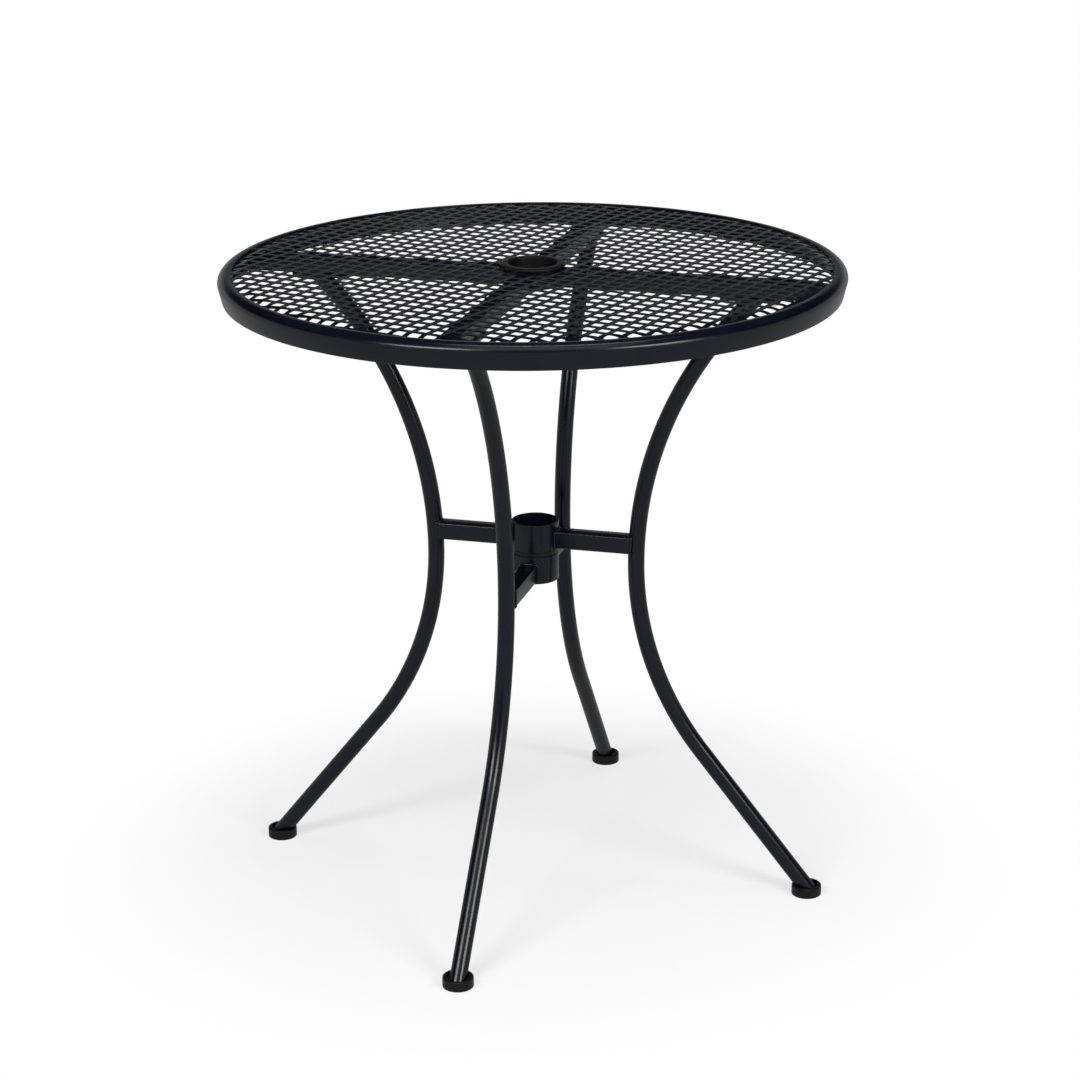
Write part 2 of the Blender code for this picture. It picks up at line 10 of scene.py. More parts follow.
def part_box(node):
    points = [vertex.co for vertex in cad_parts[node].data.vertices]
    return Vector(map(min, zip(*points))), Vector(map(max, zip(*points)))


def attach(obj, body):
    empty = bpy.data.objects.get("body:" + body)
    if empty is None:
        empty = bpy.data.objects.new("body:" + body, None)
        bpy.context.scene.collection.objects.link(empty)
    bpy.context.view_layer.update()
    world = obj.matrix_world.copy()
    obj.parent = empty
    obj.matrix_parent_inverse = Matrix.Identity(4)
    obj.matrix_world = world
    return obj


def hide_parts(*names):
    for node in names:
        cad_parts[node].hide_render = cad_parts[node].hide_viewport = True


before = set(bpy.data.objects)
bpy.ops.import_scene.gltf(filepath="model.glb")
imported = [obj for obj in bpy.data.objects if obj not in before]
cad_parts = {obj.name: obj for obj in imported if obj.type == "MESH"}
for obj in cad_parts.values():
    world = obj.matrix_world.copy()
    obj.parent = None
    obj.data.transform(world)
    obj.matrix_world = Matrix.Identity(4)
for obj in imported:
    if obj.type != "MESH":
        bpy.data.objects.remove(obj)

bl_info = {
    "name": "Balcony table",
    "version": (1, 0, 0),
    "blender": (4, 5, 0),
    "location": "View3D > Sidebar > Table",
    "description": "Builds the detailed pieces, finishes and stage of a round balcony table",
    "category": "Object",
}

BODY = "root"

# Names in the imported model
SIDES = {"right": 0.0, "back": math.pi / 2, "left": math.pi, "front": 3 * math.pi / 2}
UPPER_SIDES = ("right", "left")
LOWER_SIDES = ("back", "front")

# Boxes of the nodes that the new pieces stand for
RIM_LOW, RIM_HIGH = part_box("top_rim")
SHEET_LOW, SHEET_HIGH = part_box("perforated_top")
RING_LOW, RING_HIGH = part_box("parasol_ring")
TUBE_LOW, TUBE_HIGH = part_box("centre_tube")
ARM_LOW, ARM_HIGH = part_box("top_arm_right")
UPPER_COLLAR_LOW, UPPER_COLLAR_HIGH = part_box("hub_collar_upper")
LOWER_COLLAR_LOW, LOWER_COLLAR_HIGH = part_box("hub_collar_lower")
SPACER_LOW, SPACER_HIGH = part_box("hub_spacer")
LEG_LOW, LEG_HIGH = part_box("leg_right")
GLIDE_LOW, GLIDE_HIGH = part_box("foot_glide_right")
BOLT_LOW, BOLT_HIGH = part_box("leg_bolt_right_inner")

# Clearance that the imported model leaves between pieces
GAP = 0.0003

# Modelling
MERGE_DISTANCE = 1e-7
LEAST_SHARE_ALONG = 0.5
CIRCULAR_PROFILE = 0.5
SHARP_ANGLE = math.radians(32)

# Table top
TABLE_HEIGHT = SHEET_HIGH.z
TOP_RADIUS = RIM_HIGH.x
FLANGE_TOP = RIM_HIGH.z
APRON_BOTTOM = RIM_LOW.z
RIM_SHEET = 0.0015
RIM_INNER_RADIUS = TOP_RADIUS - 0.015
SHOULDER_WIDTH = 0.010
SHOULDER_DROP = 0.009
SHOULDER_FOOT = FLANGE_TOP - SHOULDER_DROP
APRON_TAPER = 0.0045
HEM_HEIGHT = 0.005
HEM_THICKNESS = 0.0015
HEM_ROUND = 0.0007
SHOULDER_STEPS = 12
EDGE_STEPS = 3
SHEET_THICKNESS = 0.0012
SHEET_DIP = TABLE_HEIGHT - SHEET_LOW.z - SHEET_THICKNESS
DIP_WIDTH = 0.0135
DIP_STEPS = 8
FIELD_RADIUS = RIM_INNER_RADIUS - GAP - DIP_WIDTH
ROUND_STEPS = 192
HOLE_CORNER_STEPS = 2

# Punches, which reach from under the sheet to above it
CUT_PAST = 0.004
PUNCH_LOW = SHEET_LOW.z - CUT_PAST
PUNCH_HIGH = TABLE_HEIGHT + CUT_PAST
PUNCH_PLACE = Matrix.Translation((0.0, 0.0, (PUNCH_LOW + PUNCH_HIGH) / 2))

# Parasol ring and centre tube
RING_BORE = 0.0275
RING_SLEEVE_RADIUS = 0.0295
RING_FLANGE_ROUND = 0.0014
RING_RIM_ROUND = 0.0021
RING_EDGE_ROUND = 0.0005
RING_FLANGE_LAP = 0.0025
SHEET_BORE = RING_HIGH.x - RING_FLANGE_LAP
TUBE_WALL = 0.002
BARREL_STEPS = 96

# Arms and stretchers
BAR_SIZE = 0.020
HALF_BAR = BAR_SIZE / 2
BAR_CORNER = 0.002
BAR_CORNER_STEPS = 4
ARM_TOP = ARM_HIGH.z
ARM_BOTTOM = ARM_LOW.z
COLLAR_WALL = 0.002
COLLAR_ROUND = 0.0006
SPACER_ROUND = 0.0004
UPPER_STRETCHER_DROP = 0.0200
LOWER_STRETCHER_DROP = 0.0184
SADDLE_SETBACK = 0.005

# Legs
TUBE_RADIUS = 0.0095
WAIST_RADIUS = 0.1195
WAIST_HEIGHT = 0.388
TOP_REACH = 0.1315
LOWER_BEND_RADIUS = 0.355
LEG_LEAN = math.radians(38.75)
LEG_TOP = LEG_HIGH.z
LEG_BOTTOM = LEG_LOW.z
UPPER_RISE = LEG_TOP - WAIST_HEIGHT
UPPER_BEND_RADIUS = (UPPER_RISE ** 2 + TOP_REACH ** 2) / (2 * TOP_REACH)
BEND_STEPS = 40
TUBE_SEGMENTS = 32

# Lengths by which a leg is swept past its level cuts
LEG_TOP_SPARE = 0.008
LEG_FOOT_SPARE = 0.016

# Glides
GLIDE_RADIUS = (GLIDE_HIGH.y - GLIDE_LOW.y) / 2
GLIDE_SOLE_ROUND = 0.001
GLIDE_LIP_ROUND = 0.002
GLIDE_LIP = 0.004
GLIDE_DISH_DEPTH = 0.0025
GLIDE_DISH_ROUND = 0.0005
GLIDE_DISH_EDGE = 0.0016
GLIDE_STEPS = 64

# Fixings under the top
HEX_SIDES = 6
HEX_ACROSS_FLATS = 0.010
HEX_HEAD_HEIGHT = 0.004
HEX_EDGE = 0.0005
HEX_EDGE_STEPS = 2
BOLT_FLANGE_HEIGHT = 0.0012
BOLT_SHANK_RADIUS = 0.003
BOLT_ROUND = 0.0004

# Weld beads
BEAD_STEPS = 96
BEAD_RIPPLES = 34
BEAD_RIPPLE_DEPTH = 0.16
BEAD_SINK = 0.0004
BEAD_RESOLUTION = 2
THIN_BEAD = 0.8
CORNER_POWER = 10
SEAM_RADIUS = 0.0005
SEAM_ANGLE = math.radians(-60)
SEAM_STEPS = 24
TACK_RADIUS = 0.0028
TACK_FLATTENING = 0.45
TACK_SUBDIVISIONS = 3

# Grain that the finishes share
MOTTLE_DETAIL = 5.0
MOTTLE_ROUGHNESS = 0.6
MOTTLE_LOW = 0.3
MOTTLE_HIGH = 0.7
PEEL_DETAIL = 2.0
PEEL_RUB = 0.4
SPECK_SHARE = 0.25
GRAIN_SOCKETS = {
    "INPUT": {"Deep Colour": "Color", "Pale Colour": "Color", "Mottle Scale": "Float", "Peel Scale": "Float",
              "Speck Scale": "Float", "Roughness Low": "Float", "Roughness High": "Float"},
    "OUTPUT": {"Colour": "Color", "Roughness": "Float", "Height": "Float"},
}

# Grain of each finish: two shades as shares of its colour, its marks and roughness, and its relief
GRAINS = {
    "satin_black_powder_coat": {
        "shades": {"Deep Colour": 0.75, "Pale Colour": 1.3},
        "marks": {"Mottle Scale": 26.0, "Peel Scale": 420.0, "Speck Scale": 1500.0,
                  "Roughness Low": 0.5, "Roughness High": 0.7},
        "relief": {"Strength": 0.25, "Distance": 0.00004},
    },
    "moulded_black_plastic": {
        "shades": {"Deep Colour": 0.8, "Pale Colour": 1.25},
        "marks": {"Mottle Scale": 60.0, "Peel Scale": 900.0, "Speck Scale": 2600.0,
                  "Roughness Low": 0.34, "Roughness High": 0.5},
        "relief": {"Strength": 0.3, "Distance": 0.00006},
    },
    "bright_zinc_plate": {
        "shades": {"Deep Colour": 0.85, "Pale Colour": 1.1},
        "marks": {"Mottle Scale": 220.0, "Peel Scale": 1600.0, "Speck Scale": 3000.0,
                  "Roughness Low": 0.26, "Roughness High": 0.42},
        "relief": {"Strength": 0.2, "Distance": 0.00005},
    },
}

# Camera, fitted to the photograph in the frame of the table
PHOTO_SIZE = 1080
FOCAL_PIXELS = 2873.9
SENSOR_WIDTH = 36.0
CAMERA_PLACE = (0.8550, -3.0113, 1.4603)
CAMERA_HEADING = math.radians(-15.749)
CAMERA_PITCH = math.radians(18.595)
CAMERA_ROLL = math.radians(-0.505)

# Studio: a round floor with a low white cove and a dark curtain above the cove's far side
FLOOR_RADIUS = 6.0
COVE_ROUND = 0.8
COVE_HEIGHT = 2.0
COVE_STEPS = 12
CURTAIN_HEIGHT = 4.6
CURTAIN_TURN = math.radians(200)
WORLD_LEVEL = 0.1

# The floor's own white: its share near the table, and the distances over which it grows to the whole
NEAR_WHITE = 0.60
FADE_START = 0.30
FADE_END = 0.62

# Lamps in metres and watts, placed from under the table's middle as the camera sees it: right, ahead and up
LAMP_AIM = (0.0, 0.0, 0.4)
LAMPS = {
    "overhead_strip": {"place": (0.15, 0.1, 3.2), "size": (1.6, 0.2), "power": 20.0},
    "overhead_soft_box": {"place": (0.2, -1.5, 3.0), "size": (2.2, 2.2), "power": 32.0},
    "left_soft_box": {"place": (-1.45, -1.95, 2.10), "size": (1.2, 0.5), "power": 56.0},
    "right_soft_box": {"place": (1.80, -1.98, 1.69), "size": (1.2, 0.5), "power": 56.0},
}


def arc_points(centre, radii, start, end, steps):
    """Return points along an elliptical arc in the plane of a profile."""
    points = []
    for step in range(steps + 1):
        angle = start + (end - start) * step / steps
        points.append((centre[0] + radii[0] * math.cos(angle), centre[1] + radii[1] * math.sin(angle)))
    return points


def rounded(corners):
    """Return an outline from corners given as (across, up, round), rounded where round is above zero."""
    points = []
    for index, (across, up, size) in enumerate(corners):
        here = Vector((across, up))
        if size <= 0:
            points.append((across, up))
            continue
        before = Vector(corners[index - 1][:2])
        after = Vector(corners[(index + 1) % len(corners)][:2])
        start = here + (before - here).normalized() * size
        end = here + (after - here).normalized() * size
        for step in range(EDGE_STEPS + 1):
            share = step / EDGE_STEPS
            point = start.lerp(here, share).lerp(here.lerp(end, share), share)
            points.append((point.x, point.y))
    return points


def everything(bm):
    """Return all vertices, edges and faces of a bmesh."""
    return bm.verts[:] + bm.edges[:] + bm.faces[:]


def verts_in(items):
    """Return the vertices among the elements of a bmesh."""
    return [item for item in items if isinstance(item, bmesh.types.BMVert)]


def edges_in(items):
    """Return the edges among the elements of a bmesh."""
    return [item for item in items if isinstance(item, bmesh.types.BMEdge)]


def turned(outline, steps, at=(0.0, 0.0)):
    """Return a bmesh of a closed outline turned about an upright axis."""
    bm = bmesh.new()
    verts = [bm.verts.new((at[0] + radius, at[1], height)) for radius, height in outline]
    edges = [bm.edges.new(pair) for pair in zip(verts, verts[1:] + verts[:1])]
    bmesh.ops.spin(bm, geom=verts + edges, cent=(at[0], at[1], 0.0), axis=(0.0, 0.0, 1.0),
                   angle=math.tau, steps=steps, use_merge=True)
    bmesh.ops.remove_doubles(bm, verts=bm.verts, dist=MERGE_DISTANCE)
    bmesh.ops.recalc_face_normals(bm, faces=bm.faces)
    return bm


def bar(low, high):
    """Return a bmesh of a square bar between two corners, with its edges along x rounded as on drawn tube."""
    bm = bmesh.new()
    low = Vector(low)
    high = Vector(high)
    place = Matrix.Translation((low + high) / 2) @ Matrix.Diagonal((*(high - low), 1.0))
    bmesh.ops.create_cube(bm, size=1.0, matrix=place)
    along = []
    for edge in bm.edges:
        direction = (edge.verts[1].co - edge.verts[0].co).normalized()
        if abs(direction.x) > LEAST_SHARE_ALONG:
            along.append(edge)
    bmesh.ops.bevel(bm, geom=along, offset=BAR_CORNER, segments=BAR_CORNER_STEPS, affect="EDGES",
                    profile=CIRCULAR_PROFILE, material=-1)
    return bm


def swung(bm, angle):
    """Turn a bmesh about the table's axis and return it."""
    bmesh.ops.rotate(bm, verts=bm.verts, cent=(0.0, 0.0, 0.0), matrix=Matrix.Rotation(angle, 3, "Z"))
    return bm


def cut_away(body, cutter):
    """Return a bmesh of a body with a cutter taken out of it."""
    objects = []
    for name, bm in (("body", body), ("cutter", cutter)):
        mesh = bpy.data.meshes.new(name)
        bm.to_mesh(mesh)
        bm.free()
        one = bpy.data.objects.new(name, mesh)
        bpy.context.scene.collection.objects.link(one)
        objects.append(one)
    cutting = objects[0].modifiers.new("cut", "BOOLEAN")
    cutting.operation = "DIFFERENCE"
    cutting.solver = "EXACT"
    cutting.object = objects[1]
    result = bmesh.new()
    result.from_object(objects[0], bpy.context.evaluated_depsgraph_get())
    for one in objects:
        mesh = one.data
        bpy.data.objects.remove(one)
        bpy.data.meshes.remove(mesh)
    return result


def place_piece(bm, name, material, replaced):
    """Make a piece of a bmesh. It rides on the table and stands for the nodes that it replaces."""
    mesh = bpy.data.meshes.new(name)
    bm.to_mesh(mesh)
    bm.free()
    mesh.polygons.foreach_set("use_smooth", [True] * len(mesh.polygons))
    mesh.set_sharp_from_angle(angle=SHARP_ANGLE)
    mesh.materials.append(material)
    piece = bpy.data.objects.new(name, mesh)
    bpy.context.scene.collection.objects.link(piece)
    if replaced:
        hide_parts(*replaced)
    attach(piece, BODY)


def leg_radius(height):
    """Return the distance of a leg's centre line from the table's axis at a height."""
    rise = height - WAIST_HEIGHT
    if rise >= 0:
        return WAIST_RADIUS + UPPER_BEND_RADIUS - math.sqrt(UPPER_BEND_RADIUS ** 2 - rise ** 2)
    bend_rise = max(rise, -LOWER_BEND_RADIUS * math.sin(LEG_LEAN))
    bend = WAIST_RADIUS + LOWER_BEND_RADIUS - math.sqrt(LOWER_BEND_RADIUS ** 2 - bend_rise ** 2)
    return bend + (bend_rise - rise) * math.tan(LEG_LEAN)


def stretcher_height(side):
    """Return the height of the middle of a side's stretcher."""
    if side in UPPER_SIDES:
        return UPPER_COLLAR_HIGH.z - UPPER_STRETCHER_DROP
    return LOWER_COLLAR_HIGH.z - LOWER_STRETCHER_DROP


# Node groups and finishes


def set_inputs(node, values):
    """Set the inputs of a node that are given by name or number."""
    for socket, value in values.items():
        node.inputs[socket].default_value = value


def math_node(tree, operation, values):
    """Return a new maths node of a node tree, with some of its inputs set."""
    node = tree.nodes.new("ShaderNodeMath")
    node.operation = operation
    set_inputs(node, values)
    return node


def surface_grain():
    """Return the node group for the mottling and orange peel of a sprayed or moulded surface."""
    existing = bpy.data.node_groups.get("surface_grain")
    if existing:
        return existing
    group = bpy.data.node_groups.new("surface_grain", "ShaderNodeTree")
    for direction, sockets in GRAIN_SOCKETS.items():
        for name, kind in sockets.items():
            group.interface.new_socket(name=name, in_out=direction, socket_type="NodeSocket" + kind)
    nodes = group.nodes
    links = group.links
    inside = nodes.new("NodeGroupInput")
    outside = nodes.new("NodeGroupOutput")
    coordinates = nodes.new("ShaderNodeTexCoord")

    mottle = nodes.new("ShaderNodeTexNoise")
    set_inputs(mottle, {"Detail": MOTTLE_DETAIL, "Roughness": MOTTLE_ROUGHNESS})
    links.new(coordinates.outputs["Object"], mottle.inputs["Vector"])
    links.new(inside.outputs["Mottle Scale"], mottle.inputs["Scale"])

    spread = nodes.new("ShaderNodeMapRange")
    set_inputs(spread, {"From Min": MOTTLE_LOW, "From Max": MOTTLE_HIGH})
    links.new(mottle.outputs["Fac"], spread.inputs["Value"])

    colour = nodes.new("ShaderNodeMix")
    colour.data_type = "RGBA"
    links.new(spread.outputs["Result"], colour.inputs["Factor"])
    links.new(inside.outputs["Deep Colour"], colour.inputs["A"])
    links.new(inside.outputs["Pale Colour"], colour.inputs["B"])
    links.new(colour.outputs["Result"], outside.inputs["Colour"])

    peel = nodes.new("ShaderNodeTexNoise")
    set_inputs(peel, {"Detail": PEEL_DETAIL})
    links.new(coordinates.outputs["Object"], peel.inputs["Vector"])
    links.new(inside.outputs["Peel Scale"], peel.inputs["Scale"])

    speck = nodes.new("ShaderNodeTexVoronoi")
    links.new(coordinates.outputs["Object"], speck.inputs["Vector"])
    links.new(inside.outputs["Speck Scale"], speck.inputs["Scale"])

    height = math_node(group, "MULTIPLY_ADD", {1: SPECK_SHARE})
    links.new(speck.outputs["Distance"], height.inputs[0])
    links.new(peel.outputs["Fac"], height.inputs[2])
    links.new(height.outputs["Value"], outside.inputs["Height"])

    rub = math_node(group, "MULTIPLY_ADD", {1: PEEL_RUB, 2: -PEEL_RUB / 2})
    links.new(peel.outputs["Fac"], rub.inputs[0])
    worn = math_node(group, "ADD", {})
    worn.use_clamp = True
    links.new(spread.outputs["Result"], worn.inputs[0])
    links.new(rub.outputs["Value"], worn.inputs[1])

    roughness = nodes.new("ShaderNodeMapRange")
    links.new(worn.outputs["Value"], roughness.inputs["Value"])
    links.new(inside.outputs["Roughness Low"], roughness.inputs["To Min"])
    links.new(inside.outputs["Roughness High"], roughness.inputs["To Max"])
    links.new(roughness.outputs["Result"], outside.inputs["Roughness"])
    return group


def shade(colour, share):
    """Return a colour with its level changed by a share, as four numbers."""
    return (*(value * share for value in colour), 1.0)


def grained_material(name, colour, surface):
    """Return a finish whose colour, roughness and relief come from the surface grain group."""
    existing = bpy.data.materials.get(name)
    if existing:
        return existing
    grain = GRAINS[name]
    material = bpy.data.materials.new(name)
    material.use_nodes = True
    nodes = material.node_tree.nodes
    links = material.node_tree.links
    shader = nodes["Principled BSDF"]
    set_inputs(shader, surface)
    texture = nodes.new("ShaderNodeGroup")
    texture.node_tree = surface_grain()
    set_inputs(texture, {socket: shade(colour, share) for socket, share in grain["shades"].items()})
    set_inputs(texture, grain["marks"])
    relief = nodes.new("ShaderNodeBump")
    set_inputs(relief, grain["relief"])
    links.new(texture.outputs["Colour"], shader.inputs["Base Color"])
    links.new(texture.outputs["Roughness"], shader.inputs["Roughness"])
    links.new(texture.outputs["Height"], relief.inputs["Height"])
    links.new(relief.outputs["Normal"], shader.inputs["Normal"])
    links.new(relief.outputs["Normal"], shader.inputs["Coat Normal"])
    return material


def powder_coat():
    """Return the black powder coat of the steel parts."""
    finish = bpy.context.scene.table_finish
    surface = {"Specular IOR Level": 0.0, "Coat Weight": finish.coat_gloss,
               "Coat Roughness": finish.coat_roughness}
    return grained_material("satin_black_powder_coat", finish.coat_colour, surface)


def moulded_plastic():
    """Return the black plastic of the glides, the spacer and the parasol ring."""
    finish = bpy.context.scene.table_finish
    surface = {"Specular IOR Level": 0.0, "Coat Weight": finish.plastic_gloss,
               "Coat Roughness": finish.plastic_roughness}
    return grained_material("moulded_black_plastic", finish.plastic_colour, surface)


def zinc_plate():
    """Return the bright zinc plate of the bolts and nuts."""
    finish = bpy.context.scene.table_finish
    return grained_material("bright_zinc_plate", finish.zinc_colour, {"Metallic": 1.0})


def coated(bm, name, *replaced):
    """Make a powder-coated steel piece of a bmesh."""
    place_piece(bm, name, powder_coat(), replaced)


def moulded(bm, name, *replaced):
    """Make a black plastic piece of a bmesh."""
    place_piece(bm, name, moulded_plastic(), replaced)


# Table top


def plain_sheet():
    """Return the round sheet with its dipped edge, before its holes are punched."""
    bm = bmesh.new()
    centre = Matrix.Translation((0.0, 0.0, TABLE_HEIGHT))
    bmesh.ops.create_circle(bm, cap_ends=True, segments=ROUND_STEPS, radius=FIELD_RADIUS, matrix=centre)
    rings = []
    for step in range(1, DIP_STEPS + 1):
        share = step / DIP_STEPS
        drop = SHEET_DIP * (1 - math.cos(math.pi * share)) / 2
        rings.append((FIELD_RADIUS + DIP_WIDTH * share, TABLE_HEIGHT - drop))
    rings.append((SHEET_HIGH.x, TABLE_HEIGHT - SHEET_DIP))
    edge = bm.edges[:]
    for radius, height in rings:
        grown = bmesh.ops.extrude_edge_only(bm, edges=edge)["geom"]
        for vert in verts_in(grown):
            stretch = radius / math.hypot(vert.co.x, vert.co.y)
            vert.co = (vert.co.x * stretch, vert.co.y * stretch, height)
        edge = edges_in(grown)
    lower = bmesh.ops.extrude_face_region(bm, geom=bm.faces[:])["geom"]
    bmesh.ops.translate(bm, verts=verts_in(lower), vec=(0.0, 0.0, -SHEET_THICKNESS))
    bmesh.ops.recalc_face_normals(bm, faces=bm.faces)
    return bm


def hole_punches(sizes):
    """Return rounded square bars in straight rows, one for each hole."""
    half = sizes.hole_side / 2
    bm = bmesh.new()
    size = Matrix.Diagonal((sizes.hole_side, sizes.hole_side, PUNCH_HIGH - PUNCH_LOW, 1.0))
    bmesh.ops.create_cube(bm, size=1.0, matrix=PUNCH_PLACE @ size)
    upright = [edge for edge in bm.edges if abs(edge.verts[0].co.z - edge.verts[1].co.z) > half]
    bmesh.ops.bevel(bm, geom=upright, offset=sizes.hole_corner, segments=HOLE_CORNER_STEPS, affect="EDGES",
                    profile=CIRCULAR_PROFILE, material=-1)
    punch = everything(bm)
    punch_verts = bm.verts[:]
    reach = int(TOP_RADIUS / sizes.hole_pitch) + 1
    for row in range(-reach, reach + 1):
        for column in range(-reach, reach + 1):
            step = Vector((column * sizes.hole_pitch, row * sizes.hole_pitch, 0.0))
            inside_sheet = step.length < SHEET_HIGH.x + half
            outside_bore = step.length > SHEET_BORE - half
            if inside_sheet and outside_bore:
                copied = bmesh.ops.duplicate(bm, geom=punch)["geom"]
                bmesh.ops.translate(bm, verts=verts_in(copied), vec=step)
    bmesh.ops.delete(bm, geom=punch_verts, context="VERTS")
    swung(bm, sizes.row_angle)
    return bm


def bore_punch():
    """Return the round bar that cuts the sheet's middle for the centre tube and the ring."""
    bm = bmesh.new()
    bmesh.ops.create_cone(bm, cap_ends=True, segments=BARREL_STEPS, radius1=SHEET_BORE,
                          radius2=SHEET_BORE, depth=PUNCH_HIGH - PUNCH_LOW, matrix=PUNCH_PLACE)
    return bm


class TABLE_OT_perforated_top(bpy.types.Operator):
    """Punch the square holes into the dipped round sheet"""
    bl_idname = "table.perforated_top"
    bl_label = "Perforated top"

    def execute(self, context):
        sheet = cut_away(plain_sheet(), bore_punch())
        sheet = cut_away(sheet, hole_punches(context.scene.table_sizes))
        coated(sheet, "punched_sheet", "perforated_top")
        return {"FINISHED"}


class TABLE_OT_rim(bpy.types.Operator):
    """Roll the rim with its flange, shoulder, tapered apron and folded hem"""
    bl_idname = "table.rim"
    bl_label = "Rolled rim"

    def execute(self, context):
        quarter = math.pi / 2
        centre = (TOP_RADIUS - SHOULDER_WIDTH, SHOULDER_FOOT)
        outer = arc_points(centre, (SHOULDER_WIDTH, SHOULDER_DROP), 0.0, quarter, SHOULDER_STEPS)
        inner_size = (SHOULDER_WIDTH - RIM_SHEET, SHOULDER_DROP - RIM_SHEET)
        inner = arc_points(centre, inner_size, quarter, 0.0, SHOULDER_STEPS)
        foot = TOP_RADIUS - APRON_TAPER
        hem_share = HEM_HEIGHT / (SHOULDER_FOOT - APRON_BOTTOM)
        hem_outer = foot + APRON_TAPER * hem_share - RIM_SHEET
        hem_top = APRON_BOTTOM + HEM_HEIGHT
        corners = [(foot, APRON_BOTTOM, HEM_ROUND)]
        corners += [(*point, 0.0) for point in outer]
        corners += [(RIM_INNER_RADIUS, FLANGE_TOP, HEM_ROUND / 2)]
        corners += [(RIM_INNER_RADIUS, FLANGE_TOP - RIM_SHEET, 0.0)]
        corners += [(*point, 0.0) for point in inner]
        corners += [
            (hem_outer, hem_top, 0.0),
            (hem_outer - HEM_THICKNESS, hem_top - HEM_THICKNESS / 2, HEM_ROUND),
            (foot - RIM_SHEET - HEM_THICKNESS, APRON_BOTTOM, HEM_ROUND),
        ]
        coated(turned(rounded(corners), ROUND_STEPS), "rolled_rim", "top_rim")
        return {"FINISHED"}


class TABLE_OT_parasol_ring(bpy.types.Operator):
    """Mould the ring and sleeve of the parasol hole"""
    bl_idname = "table.parasol_ring"
    bl_label = "Parasol ring"

    def execute(self, context):
        foot = TABLE_HEIGHT + GAP
        corners = [
            (RING_BORE, RING_LOW.z, RING_EDGE_ROUND), (RING_SLEEVE_RADIUS, RING_LOW.z, RING_EDGE_ROUND),
            (RING_SLEEVE_RADIUS, foot, 0.0), (RING_HIGH.x, foot, RING_EDGE_ROUND / 2),
            (RING_HIGH.x, RING_HIGH.z, RING_RIM_ROUND),
            (RING_BORE, RING_HIGH.z, RING_FLANGE_ROUND),
        ]
        moulded(turned(rounded(corners), BARREL_STEPS), "moulded_parasol_ring", "parasol_ring")
        return {"FINISHED"}


def barrel(inner, outer, low, high, edge):
    """Return a bmesh of a short upright tube with rounded edges."""
    corners = [(inner, low, edge), (outer, low, edge), (outer, high, edge), (inner, high, edge)]
    return turned(rounded(corners), BARREL_STEPS)


class TABLE_OT_top_frame(bpy.types.Operator):
    """Set the centre tube and the four arms under the top"""
    bl_idname = "table.top_frame"
    bl_label = "Centre tube and arms"

    def execute(self, context):
        tube = barrel(TUBE_HIGH.x - TUBE_WALL, TUBE_HIGH.x, TUBE_LOW.z, TUBE_HIGH.z, COLLAR_ROUND)
        coated(tube, "welded_centre_tube", "centre_tube")
        for side, angle in SIDES.items():
            arm = bar((self.inner_end(), -HALF_BAR, ARM_BOTTOM),
                      (self.outer_end(), HALF_BAR, ARM_TOP))
            self.lower_end(arm)
            coated(swung(arm, angle), "arm_tube_" + side, "top_arm_" + side)
        return {"FINISHED"}

    def inner_end(self):
        """Return how near to the axis an arm starts, inside the wall of the centre tube."""
        return math.sqrt(TUBE_HIGH.x ** 2 - HALF_BAR ** 2)

    def outer_end(self):
        """Return how far an arm reaches, up to the apron's inner side."""
        return math.sqrt(apron_inside(ARM_BOTTOM) ** 2 - HALF_BAR ** 2)

    def lower_end(self, arm):
        """Slope the top of an arm's outer end, so that it passes under the dipped edge of the sheet."""
        start = FIELD_RADIUS - DIP_WIDTH / 2
        end = FIELD_RADIUS + DIP_WIDTH / 2
        for cut in (start, end):
            bmesh.ops.bisect_plane(arm, geom=everything(arm), plane_co=(cut, 0.0, 0.0),
                                   plane_no=(1.0, 0.0, 0.0))
        middle = (ARM_TOP + ARM_BOTTOM) / 2
        for vert in arm.verts:
            if vert.co.z > middle and vert.co.x > start:
                share = min((vert.co.x - start) / (end - start), 1.0)
                vert.co.z -= SHEET_DIP * share


def apron_inside(height):
    """Return the radius of the apron's inner side at a height."""
    share = (height - APRON_BOTTOM) / (SHOULDER_FOOT - APRON_BOTTOM)
    return TOP_RADIUS - APRON_TAPER * (1 - share) - RIM_SHEET


# Leg frames


